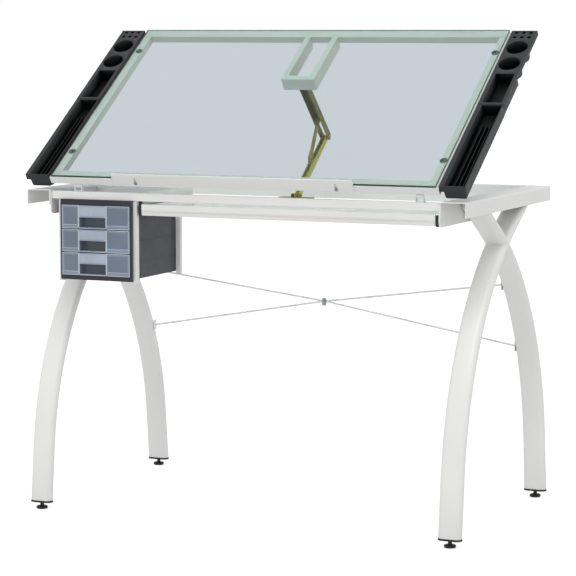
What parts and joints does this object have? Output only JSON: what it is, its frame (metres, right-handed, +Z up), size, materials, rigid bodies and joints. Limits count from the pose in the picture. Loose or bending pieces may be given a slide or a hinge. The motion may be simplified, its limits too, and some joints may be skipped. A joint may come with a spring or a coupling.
{
  "type": "drafting table",
  "caption": "Drafting table with a tilting glass top, lift-off side trays, a pencil ledge, a hanging drawer unit, a wide drawer and crossed arched legs.",
  "frame": {"origin": "on the floor, under the middle of the table's bounding box", "axes": "+X to the user's right, +Y from the user towards the back of the table, +Z up; the top is at its steepest tilt at rest"},
  "size_m": [1.104, 0.642, 1.1436],
  "materials": {
    "white_powder": "white powder coat, satin",
    "black_plastic": "moulded black plastic, matte",
    "rod_steel": "pale grey coated wire",
    "case_plastic": "dark grey moulded plastic with fine ribs",
    "bin_plastic": "smoky blue translucent plastic",
    "slide_steel": "black zinc slide steel",
    "glass": "clear tempered glass with a green edge",
    "bumper": "clear soft plastic",
    "tray_plastic": "black moulded plastic, fine texture",
    "zinc": "yellow zinc plate on pressed steel"
  },
  "bodies": {
    "base": {"front_rail": "white_powder", "back_rail": "white_powder", "centre_rail": "white_powder", "side_member_left": "white_powder", "side_member_right": "white_powder", "side_plate_left": "white_powder", "side_plate_right": "white_powder", "hanger_plate": "white_powder", "leg_pair_left": "white_powder", "leg_pair_right": "white_powder", "unit_post_front_left": "white_powder", "unit_post_front_right": "white_powder", "unit_post_rear_left": "white_powder", "unit_post_rear_right": "white_powder", "unit_rear_bar": "white_powder", "leg_cap_front_left": "black_plastic", "leg_cap_front_right": "black_plastic", "leg_cap_rear_left": "black_plastic", "leg_cap_rear_right": "black_plastic", "brace_rod_1": "rod_steel", "brace_rod_2": "rod_steel", "brace_clamp": "rod_steel", "drawer_case": "case_plastic", "drawer_slide_left": "slide_steel", "drawer_slide_right": "slide_steel", "hinge_bracket_left": "zinc", "hinge_bracket_right": "zinc", "stay_base_plate": "zinc"},
    "wide_drawer": {"wide_drawer": "white_powder"},
    "small_drawer_top": {"small_drawer_top": "bin_plastic"},
    "small_drawer_middle": {"small_drawer_middle": "bin_plastic"},
    "small_drawer_bottom": {"small_drawer_bottom": "bin_plastic"},
    "board": {"board_front_tube": "white_powder", "board_back_tube": "white_powder", "board_side_tube_left": "white_powder", "board_side_tube_right": "white_powder", "support_bracket": "white_powder", "glass_top": "glass", "glass_bumper_front_left": "bumper", "glass_bumper_front_right": "bumper", "glass_bumper_rear_left": "bumper", "glass_bumper_rear_right": "bumper", "lower_tray_left": "tray_plastic", "lower_tray_right": "tray_plastic", "upper_tray_left": "tray_plastic", "upper_tray_right": "tray_plastic", "hinge_leaf_left": "zinc", "hinge_leaf_right": "zinc", "stay_top_bracket": "zinc"},
    "ledge": {"pencil_ledge": "white_powder"},
    "lower_link": {"lower_link": "zinc", "elbow_pin": "zinc"},
    "upper_link": {"upper_link": "zinc", "strut_pin": "zinc"},
    "strut": {"locking_strut": "zinc"},
    "foot_front_left": {"foot_front_left": "black_plastic"},
    "foot_front_right": {"foot_front_right": "black_plastic"},
    "foot_rear_left": {"foot_rear_left": "black_plastic"},
    "foot_rear_right": {"foot_rear_right": "black_plastic"}
  },
  "joints": [
    {"name": "board_tilt", "type": "hinge", "parent": "base", "child": "board", "pos_m": [0, -0.29904, 0.778], "axis": [1, 0, 0], "range_deg": [-34.2, 0]},
    {"name": "lower_link_swing", "type": "hinge", "parent": "base", "child": "lower_link", "pos_m": [0.005, 0.02396, 0.745], "axis": [1, 0, 0], "range_deg": [-84.5, 0]},
    {"name": "upper_link_swing", "type": "hinge", "parent": "board", "child": "upper_link", "pos_m": [0.005, 0.06172, 1.00951], "axis": [1, 0, 0], "range_deg": [0, 2.3]},
    {"name": "strut_swing", "type": "hinge", "parent": "upper_link", "child": "strut", "pos_m": [0.005, 0.15233, 0.92341], "axis": [1, 0, 0], "range_deg": [-69.4, 0]},
    {"name": "ledge_slide", "type": "slide", "parent": "board", "child": "ledge", "axis": [0, -0.5621, 0.8271], "range_m": [-0.0105, 0]},
    {"name": "wide_drawer_slide", "type": "slide", "parent": "base", "child": "wide_drawer", "axis": [0, -1, 0], "range_m": [0, 0.2]},
    {"name": "small_drawer_top_slide", "type": "slide", "parent": "base", "child": "small_drawer_top", "axis": [0, -1, 0], "range_m": [0, 0.15]},
    {"name": "small_drawer_middle_slide", "type": "slide", "parent": "base", "child": "small_drawer_middle", "axis": [0, -1, 0], "range_m": [0, 0.15]},
    {"name": "small_drawer_bottom_slide", "type": "slide", "parent": "base", "child": "small_drawer_bottom", "axis": [0, -1, 0], "range_m": [0, 0.15]},
    {"name": "foot_front_left_turn", "type": "hinge", "parent": "base", "child": "foot_front_left", "pos_m": [-0.5205, -0.30544, 0.008], "axis": [0, 0, 1], "continuous": true},
    {"name": "foot_front_right_turn", "type": "hinge", "parent": "base", "child": "foot_front_right", "pos_m": [0.5205, -0.30544, 0.008], "axis": [0, 0, 1], "continuous": true},
    {"name": "foot_rear_left_turn", "type": "hinge", "parent": "base", "child": "foot_rear_left", "pos_m": [-0.5205, 0.30736, 0.008], "axis": [0, 0, 1], "continuous": true},
    {"name": "foot_rear_right_turn", "type": "hinge", "parent": "base", "child": "foot_rear_right", "pos_m": [0.5205, 0.30736, 0.008], "axis": [0, 0, 1], "continuous": true}
  ],
  "couplings": [
    {"joint": "lower_link_swing", "follows": "board_tilt", "ratio": 2.468},
    {"joint": "upper_link_swing", "follows": "board_tilt", "ratio": -0.06547},
    {"joint": "strut_swing", "follows": "board_tilt", "ratio": 2.0257}
  ]
}
